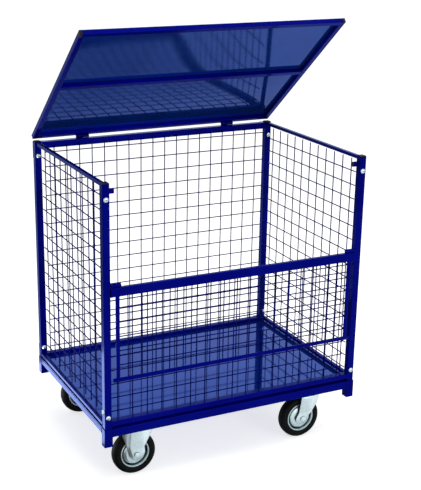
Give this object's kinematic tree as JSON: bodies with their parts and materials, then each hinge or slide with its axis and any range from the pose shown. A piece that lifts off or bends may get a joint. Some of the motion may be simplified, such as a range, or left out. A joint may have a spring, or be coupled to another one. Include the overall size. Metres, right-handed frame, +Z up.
{
  "type": "mesh roll container",
  "caption": "Blue painted mesh roll container with a folding front gate, a raised hinged lid, a sheet deck, and rigid and swivel castors.",
  "frame": {"origin": "on the floor, under the middle of the whole object's box at rest", "axes": "+Z up, +X along the length from the rigid castors to the swivel castors, -Y towards the folding gate"},
  "size_m": [1.005, 0.7132, 1.5423],
  "materials": {
    "frame_paint": "glossy deep blue paint on steel tube",
    "sheet_paint": "glossy deep blue paint on flat steel sheet, mirror-like",
    "wire_paint": "glossy deep blue paint on welded wire",
    "zinc_plate": "bright zinc plate",
    "black_plastic": "moulded black plastic",
    "black_rubber": "matt solid rubber"
  },
  "bodies": {
    "root": {"base_cross_members": "frame_paint", "base_end_rails": "frame_paint", "base_long_rails": "frame_paint", "castor_bolts": "zinc_plate", "castor_nuts": "zinc_plate", "corner_sockets": "frame_paint", "deck_sheet": "sheet_paint", "front_bottom_rail": "frame_paint", "front_mesh": "wire_paint", "front_posts": "frame_paint", "front_top_bar": "frame_paint", "gate_hinge_bosses": "frame_paint", "gate_lug_caps": "black_plastic", "gate_lugs": "frame_paint", "kingpins": "zinc_plate", "left_mesh": "wire_paint", "lid_hinge_lower_halves": "frame_paint", "panel_bolts": "zinc_plate", "panel_nuts": "zinc_plate", "post_caps": "black_plastic", "rear_bottom_rail": "frame_paint", "rear_mesh": "wire_paint", "rear_panel_ears": "frame_paint", "rear_posts": "frame_paint", "rear_top_rail": "frame_paint", "right_mesh": "wire_paint", "rigid_axle_bolts": "zinc_plate", "rigid_forks": "zinc_plate", "side_bottom_rails": "frame_paint", "side_top_rails": "frame_paint", "swivel_plates": "zinc_plate"},
    "gate": {"gate_hinge_rail": "frame_paint", "gate_stiles": "frame_paint", "gate_free_rail": "frame_paint", "gate_mesh": "wire_paint", "gate_hinge_barrels": "frame_paint"},
    "lid": {"lid_front_rail": "frame_paint", "lid_rear_rail": "frame_paint", "lid_side_rails": "frame_paint", "lid_mid_rail": "frame_paint", "lid_sheet": "sheet_paint", "lid_caps": "black_plastic", "lid_hinge_upper_halves": "frame_paint"},
    "swivel_front": {"swivel_fork_front": "zinc_plate", "swivel_axle_front": "zinc_plate"},
    "swivel_rear": {"swivel_fork_rear": "zinc_plate", "swivel_axle_rear": "zinc_plate"},
    "wheel_rigid_front": {"tyre_rigid_front": "black_rubber", "rim_rigid_front": "zinc_plate"},
    "wheel_rigid_rear": {"tyre_rigid_rear": "black_rubber", "rim_rigid_rear": "zinc_plate"},
    "wheel_swivel_front": {"tyre_swivel_front": "black_rubber", "rim_swivel_front": "zinc_plate"},
    "wheel_swivel_rear": {"tyre_swivel_rear": "black_rubber", "rim_swivel_rear": "zinc_plate"}
  },
  "joints": [
    {"name": "gate_fold", "type": "hinge", "parent": "root", "child": "gate", "pos_m": [0, -0.34663, 0.73948], "axis": [-1, 0, 0], "range_deg": [0, 180]},
    {"name": "lid_hinge", "type": "hinge", "parent": "root", "child": "lid", "pos_m": [0, 0.33687, 1.0885], "axis": [-1, 0, 0], "range_deg": [-40, 48]},
    {"name": "front_swivel", "type": "hinge", "parent": "root", "child": "swivel_front", "pos_m": [0.36, -0.26913, 0.17], "axis": [0, 0, 1], "continuous": true},
    {"name": "rear_swivel", "type": "hinge", "parent": "root", "child": "swivel_rear", "pos_m": [0.36, 0.26087, 0.17], "axis": [0, 0, 1], "continuous": true},
    {"name": "rigid_front_spin", "type": "hinge", "parent": "root", "child": "wheel_rigid_front", "pos_m": [-0.36, -0.26913, 0.08], "axis": [0, 1, 0], "continuous": true},
    {"name": "rigid_rear_spin", "type": "hinge", "parent": "root", "child": "wheel_rigid_rear", "pos_m": [-0.36, 0.26087, 0.08], "axis": [0, 1, 0], "continuous": true},
    {"name": "swivel_front_spin", "type": "hinge", "parent": "swivel_front", "child": "wheel_swivel_front", "pos_m": [0.316, -0.26913, 0.08], "axis": [0, 1, 0], "continuous": true},
    {"name": "swivel_rear_spin", "type": "hinge", "parent": "swivel_rear", "child": "wheel_swivel_rear", "pos_m": [0.316, 0.26087, 0.08], "axis": [0, 1, 0], "continuous": true}
  ]
}
